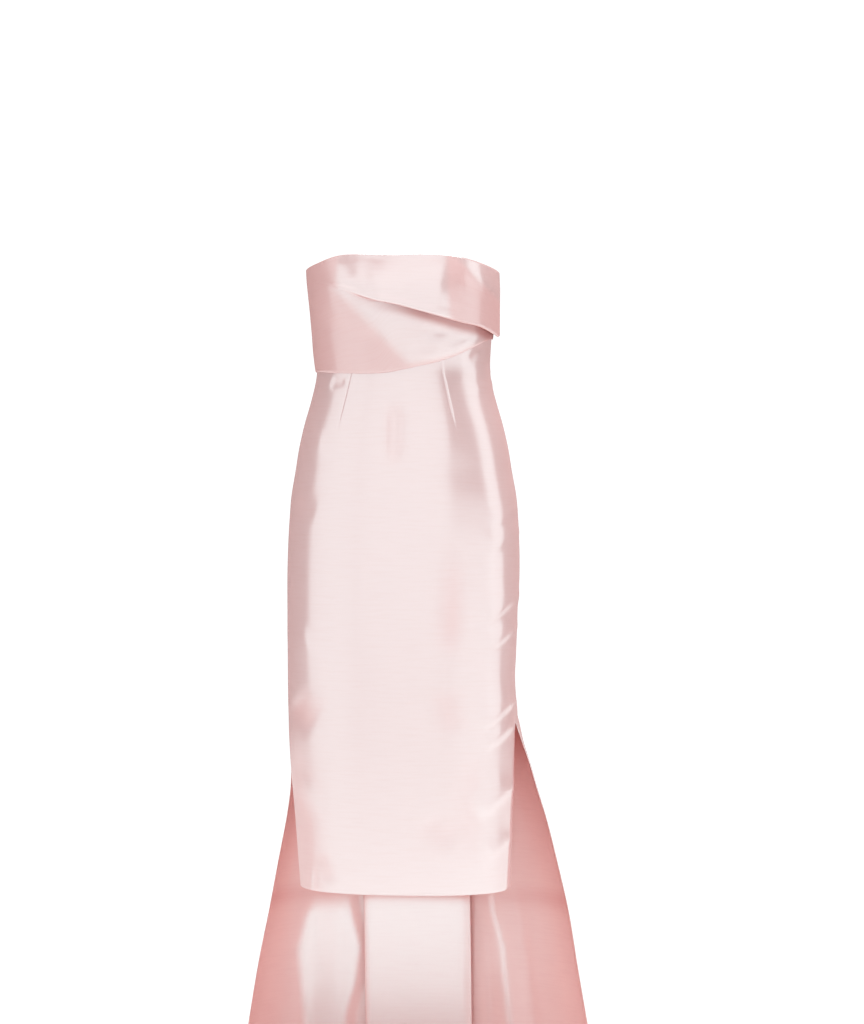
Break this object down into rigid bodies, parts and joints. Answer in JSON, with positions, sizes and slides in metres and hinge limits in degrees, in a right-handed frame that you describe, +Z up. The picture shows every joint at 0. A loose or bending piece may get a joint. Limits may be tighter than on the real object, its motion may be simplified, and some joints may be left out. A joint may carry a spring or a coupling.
{
  "type": "strapless dress",
  "caption": "Strapless satin column dress with a draped asymmetric bust band, waist darts, side slits and a floor-length pleated back; hollow worn form.",
  "frame": {"origin": "centre of the waist, where the wearer holds the dress up", "axes": "+Z up along the wearer, -Y towards the wearer's front, +X towards the wearer's left"},
  "size_m": [0.5794, 0.3656, 1.3153],
  "materials": {
    "satin": "stiff pale pink satin with a soft sheen",
    "zip_coil": "pink nylon coil",
    "zip_metal": "pink enamel"
  },
  "bodies": {
    "dress": {"front_panel": "satin", "draped_band": "satin", "back_left": "satin", "back_right": "satin", "pleat_underlay": "satin", "zip_coil": "zip_coil", "zip_slider": "zip_metal"},
    "pull": {"zip_pull": "zip_metal"}
  },
  "joints": [
    {"name": "pull_swing", "type": "hinge", "parent": "dress", "child": "pull", "pos_m": [0, 0.09572, 0.144], "axis": [1, 0, 0], "range_deg": [0, 170]}
  ]
}
